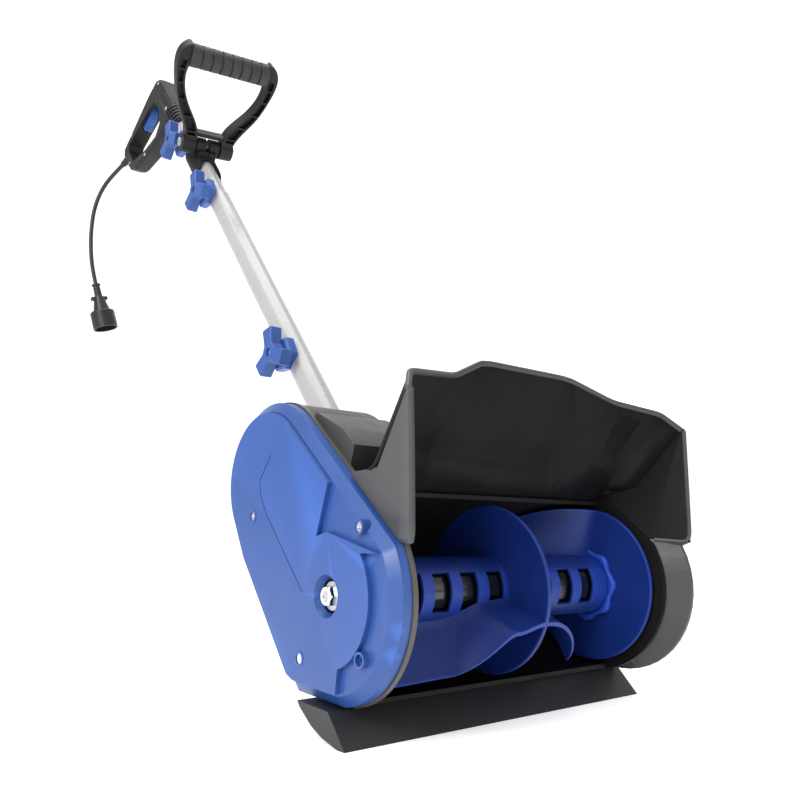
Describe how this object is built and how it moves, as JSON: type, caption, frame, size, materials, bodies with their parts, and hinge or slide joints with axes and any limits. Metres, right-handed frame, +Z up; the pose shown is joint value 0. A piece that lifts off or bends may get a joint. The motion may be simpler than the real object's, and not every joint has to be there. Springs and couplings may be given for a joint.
{
  "type": "electric snow blower",
  "caption": "Hand-held corded snow blower with a blue paddle auger, black scoop, telescopic shaft and two handles",
  "frame": {"origin": "middle of the flat foot along the bottom of the scraper bar", "axes": "+X along the auger towards the side without the belt cover, -Y forwards into the snow, +Z up"},
  "size_m": [0.334, 1.1385, 0.9701],
  "materials": {
    "black_plastic": "satin black moulded plastic",
    "grey_plastic": "satin dark grey moulded plastic",
    "blue_plastic": "satin blue moulded plastic",
    "auger_blue": "satin royal blue moulded plastic",
    "gloss_black": "glossy black tube",
    "tube_white": "off-white powder coat",
    "steel": "zinc plated steel",
    "chrome": "bright plated",
    "handle_black": "matt charcoal plastic",
    "grip_rubber": "ribbed soft grip",
    "cord_rubber": "black cord jacket",
    "brass": "plug blades",
    "copper_stack": "motor stack",
    "belt_rubber": "black belt",
    "bearing_plastic": "pale acetal"
  },
  "bodies": {
    "base": {"scoop_trough": "black_plastic", "hood_back": "black_plastic", "hood_cheek_left": "grey_plastic", "hood_cheek_right": "black_plastic", "side_plate_left": "grey_plastic", "side_plate_right": "black_plastic", "side_skirt_right": "grey_plastic", "scraper_bar": "black_plastic", "scraper_screws": "steel", "bearing_left": "bearing_plastic", "bearing_right": "bearing_plastic", "bearing_cap": "black_plastic", "belt_cover": "blue_plastic", "belt_cover_screws": "chrome", "drive_belt": "belt_rubber", "motor_can": "steel", "motor_housing": "grey_plastic", "motor_end_cover": "blue_plastic", "tube_socket": "black_plastic", "socket_screws": "steel", "stub_tube": "steel", "main_tube": "tube_white", "lower_knob_seat": "blue_plastic", "middle_knob_seat": "blue_plastic"},
    "auger": {"auger_left_half": "auger_blue", "auger_right_half": "auger_blue", "auger_core": "gloss_black", "auger_shaft": "steel", "auger_nut": "chrome", "auger_washer": "steel", "auger_pulley": "black_plastic"},
    "rotor": {"motor_pulley": "steel", "motor_shaft": "steel", "motor_armature": "copper_stack", "cooling_fan": "black_plastic"},
    "upper_shaft": {"upper_tube": "tube_white", "handle_clamp": "handle_black", "hinge_bolt": "steel", "rear_shell_left": "handle_black", "rear_shell_right": "handle_black", "trigger_pin": "steel", "power_switch": "black_plastic", "cord_relief": "cord_rubber", "cord": "cord_rubber", "plug_body": "cord_rubber", "plug_blades": "brass", "upper_knob_seat": "blue_plastic"},
    "front_handle": {"handle_frame": "handle_black", "handle_grip": "grip_rubber"},
    "trigger": {"trigger": "blue_plastic"},
    "lock_off": {"lock_button": "handle_black"},
    "knob_lower": {"lower_knob": "blue_plastic", "lower_knob_bolt": "chrome"},
    "knob_middle": {"middle_knob": "blue_plastic", "middle_knob_bolt": "chrome"},
    "knob_upper": {"upper_knob": "blue_plastic", "upper_knob_bolt": "chrome"}
  },
  "joints": [
    {"name": "auger_spin", "type": "hinge", "parent": "base", "child": "auger", "pos_m": [0, 0.025, 0.101], "axis": [1, 0, 0], "continuous": true},
    {"name": "motor_spin", "type": "hinge", "parent": "base", "child": "rotor", "pos_m": [0, 0.122, 0.19], "axis": [1, 0, 0], "continuous": true},
    {"name": "shaft_slide", "type": "slide", "parent": "base", "child": "upper_shaft", "axis": [0, 0.6334, 0.7738], "range_m": [0, 0.08]},
    {"name": "front_handle_tilt", "type": "hinge", "parent": "upper_shaft", "child": "front_handle", "pos_m": [-0.00312, 0.62754, 0.75591], "axis": [0.9936, -0.0876, 0.0717], "range_deg": [-40, 40]},
    {"name": "trigger_pull", "type": "hinge", "parent": "upper_shaft", "child": "trigger", "pos_m": [0, 0.86748, 0.93945], "axis": [1, 0, 0], "range_deg": [0, 8], "stiffness_Nm_per_rad": 0.6},
    {"name": "lock_off_press", "type": "slide", "parent": "upper_shaft", "child": "lock_off", "axis": [-1, 0, 0], "range_m": [0, 0.004], "stiffness_N_per_m": 250},
    {"name": "lower_knob_turn", "type": "hinge", "parent": "base", "child": "knob_lower", "pos_m": [-0.038, 0.3403, 0.36168], "axis": [1, 0, 0], "continuous": true},
    {"name": "middle_knob_turn", "type": "hinge", "parent": "base", "child": "knob_middle", "pos_m": [-0.038, 0.58162, 0.65651], "axis": [1, 0, 0], "continuous": true},
    {"name": "upper_knob_turn", "type": "hinge", "parent": "upper_shaft", "child": "knob_upper", "pos_m": [-0.038, 0.68296, 0.78033], "axis": [1, 0, 0], "continuous": true}
  ],
  "couplings": [
    {"joint": "motor_spin", "follows": "auger_spin", "ratio": 4}
  ]
}
